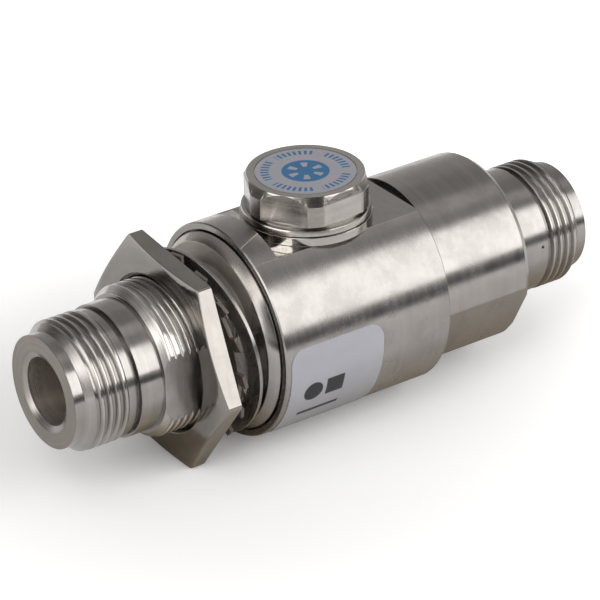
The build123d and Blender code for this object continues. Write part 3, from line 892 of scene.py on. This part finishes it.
# The table's glow fades close to the object, for camera and mirror rays: a painted shadow round it,
# on top of its real shadow.
whiter = ranged(surface, away, 0.02, 0.09, 0.12, 0.6, smooth=True)
whiter = maths(surface, "MULTIPLY", whiter, seen["Is Camera Ray"])
mirrored = ranged(surface, away, 0.03, 0.14, 0.08, 0.42, smooth=True)
beyond = maths(surface, "MAXIMUM", seen["Is Glossy Ray"], seen["Is Transmission Ray"])
mirrored = maths(surface, "MULTIPLY", mirrored, beyond)
glow = maths(surface, "MAXIMUM", whiter, mirrored)
fed(surface, table_shader.inputs["Emission Strength"], glow)
table.data.materials.append(table_white)


def studio_card(name, lowest, highest, colour, fade):
    """Card that only shows in the metal, between two corners of which one measure is the same.
    Its colour comes in between the two places across the scene that fade gives."""
    bpy.ops.object.select_all(action="DESELECT")
    upright = lowest[1] == highest[1]
    middle = (Vector(lowest) + Vector(highest)) / 2
    stand = (math.pi / 2 if upright else 0, 0, 0)
    bpy.ops.mesh.primitive_plane_add(size=1, location=middle, rotation=stand)
    card = bpy.context.object
    card.name = name
    rise = 2 if upright else 1
    card.scale = (highest[0] - lowest[0], highest[rise] - lowest[rise], 1)
    bpy.ops.object.transform_apply(location=True, rotation=True, scale=True)
    material, tree, shader, place = new_material(name)
    across = node(tree, "ShaderNodeSeparateXYZ", {0: place}).outputs["Y"]
    share = ranged(tree, across, *fade, 0.0, 1.0)
    shade = mixed(tree, share, (0.9, 0.9, 0.9, 1), (*colour, 1))
    fed(tree, shader.inputs["Base Color"], shade)
    card.data.materials.append(material)
    card.visible_camera = False
    card.visible_diffuse = False
    card.visible_shadow = False


studio_card("dark_card", (-0.15, -0.11, -0.0132), (0.25, -0.11, 0.004),
            colour=(0.10, 0.10, 0.12), fade=(-0.2, -0.15))
# Painted shade: the brown card lies under the object and shows only in the metal, as the shaded
# table beneath it, warm brown and pale grey at its front edge.
studio_card("brown_card", (-0.014, -0.020, -0.0131), (0.065, 0.025, -0.0131),
            colour=(0.64, 0.555, 0.44), fade=(-0.019, -0.005))
SOFT_BOX_AIM = Vector((0.0135, 0, 0))
SOFT_BOX_DISTANCE = 0.9


def soft_box(name, towards, width, height, radiance):
    """Square lamp that faces the object, with its brightness as seen in a mirror."""
    light = bpy.data.lights.new(name, "AREA")
    light.shape = "RECTANGLE"
    light.size = width
    light.size_y = height
    light.energy = radiance * math.pi * width * height
    lamp = bpy.data.objects.new(name, light)
    bpy.context.scene.collection.objects.link(lamp)
    place = Vector(towards).normalized() * SOFT_BOX_DISTANCE + SOFT_BOX_AIM
    lamp.location = place
    lamp.rotation_euler = (place - SOFT_BOX_AIM).to_track_quat("Z", "Y").to_euler()
    lamp.visible_camera = False


soft_box("front_soft_box", (0.502, -0.736, 0.453), width=0.95, height=0.65, radiance=2.45)
soft_box("left_soft_box", (-0.943, -0.066, 0.326), width=0.78, height=0.655, radiance=2.4)

# Spots of the surround, as (way to the spot, degrees to its full part, degrees to its edge, loss
# of brightness). A loss below 0 makes the spot brighter.
SKY_SPOTS = (
    ((0.505, -0.05, 0.861), 3, 13, -0.32),
    ((0.505, 0.36, 0.78), 6, 20, 0.12),
    ((-0.505, -0.36, 0.78), 8, 20, -2.2),
    ((-0.30, -0.86, 0.40), 18, 30, 0.42),
    ((-0.66, 0.73, 0.20), 20, 32, 0.42),
    ((0.50, -0.86, 0.03), 3, 9, 0.45),
    ((0.98, 0.0, 0.2), 18, 40, 0.2),
)
world = bpy.data.worlds.new("surround")
bpy.context.scene.world = world
world.use_nodes = True
sky = world.node_tree
direction = node(sky, "ShaderNodeTexCoord").outputs["Generated"]
rise = node(sky, "ShaderNodeSeparateXYZ", {0: direction}).outputs["Z"]
level = ranged(sky, rise, 0.08, 0.5, 0.6, 0.48, smooth=True)
for towards, inner, outer, loss in SKY_SPOTS:
    feeds = {0: direction, 1: Vector(towards).normalized()}
    along = node(sky, "ShaderNodeVectorMath", feeds, operation="DOT_PRODUCT").outputs["Value"]
    edge_cosine, full_cosine = math.cos(math.radians(outer)), math.cos(math.radians(inner))
    lost = ranged(sky, along, edge_cosine, full_cosine, 0.0, loss, smooth=True)
    level = maths(sky, "SUBTRACT", level, lost)
background = sky.nodes["Background"].inputs
fed(sky, background["Strength"], level)
background["Color"].default_value = (1.0, 0.98, 0.97, 1)


# Camera. The photograph's view, from the front left and above. Its angles, lens and place are
# those that fit the object's outlines, with the aim on the connector's axis.
AZIMUTH = math.radians(-35.064)
ELEVATION = math.radians(28.490)
ROLL = math.radians(-0.804)
FOCAL_LENGTH = 215.51
CAMERA_DISTANCE = 0.429253
CAMERA_RISE = 0.000296
CAMERA_AIM = Vector((0.012545, 0, 0))
back = Vector((
    math.sin(AZIMUTH) * math.cos(ELEVATION),
    -math.cos(AZIMUTH) * math.cos(ELEVATION),
    math.sin(ELEVATION)))
level_right = Vector((math.cos(AZIMUTH), math.sin(AZIMUTH), 0))
level_up = back.cross(level_right)
right = level_right * math.cos(ROLL) + level_up * math.sin(ROLL)
up = level_up * math.cos(ROLL) - level_right * math.sin(ROLL)
lens = bpy.data.cameras.new("photo_view")
lens.sensor_width = 36
lens.lens = FOCAL_LENGTH
lens.clip_start = 0.01
camera = bpy.data.objects.new("photo_view", lens)
bpy.context.scene.collection.objects.link(camera)
place = back * CAMERA_DISTANCE + up * CAMERA_RISE + CAMERA_AIM
camera.matrix_world = Matrix((
    (right.x, up.x, back.x, place.x),
    (right.y, up.y, back.y, place.y),
    (right.z, up.z, back.z, place.z),
    (0, 0, 0, 1)))
bpy.context.scene.camera = camera
bpy.context.scene.view_settings.view_transform = "Standard"
